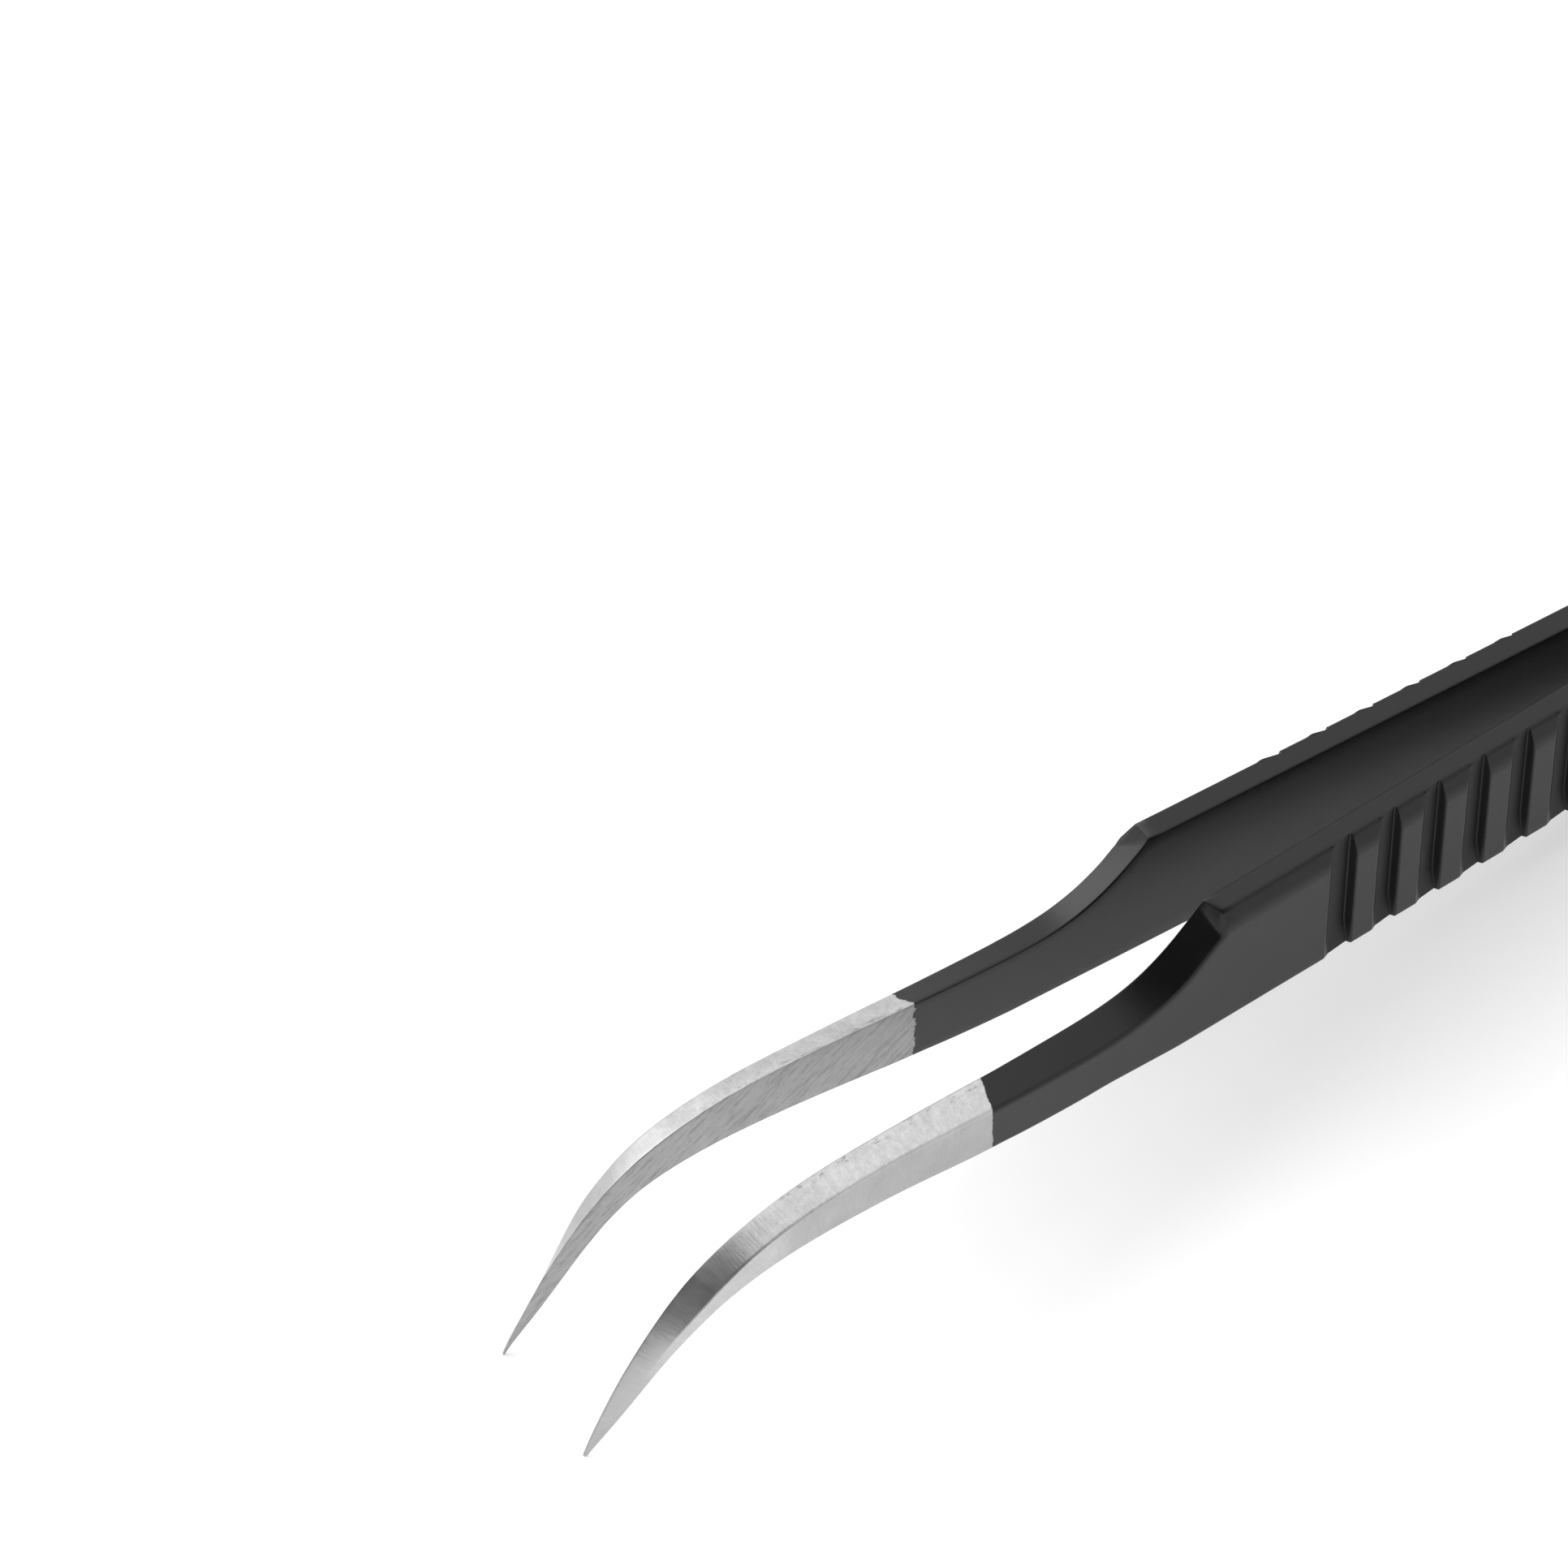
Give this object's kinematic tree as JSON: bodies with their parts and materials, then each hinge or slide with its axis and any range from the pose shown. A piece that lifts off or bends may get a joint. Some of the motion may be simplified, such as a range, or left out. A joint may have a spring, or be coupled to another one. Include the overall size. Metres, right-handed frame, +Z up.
{
  "type": "tick tweezers",
  "caption": "Fine curved-tip tweezers: two sprung steel arms welded at the heel, ridged coated grip, narrow neck, bare ground beak.",
  "frame": {"origin": "centre of the footprint, on the surface that the heel's lower corner and the two tips stand on", "axes": "+X along the tweezers, from the heel to the tips; +Y across, towards the left arm; +Z up"},
  "size_m": [0.123, 0.0106, 0.0154],
  "materials": {
    "coated_steel": "satin black coating on the handle, bare ground steel on the beak"
  },
  "bodies": {
    "fixed_arm": {"left_arm": "coated_steel"},
    "sprung_arm": {"right_arm": "coated_steel"}
  },
  "joints": [
    {"name": "squeeze", "type": "hinge", "parent": "fixed_arm", "child": "sprung_arm", "pos_m": [-0.05131, 0, 0.00555], "axis": [-0.0694, 0, 0.9976], "range_deg": [0, 4.05], "stiffness_Nm_per_rad": 1.35}
  ]
}
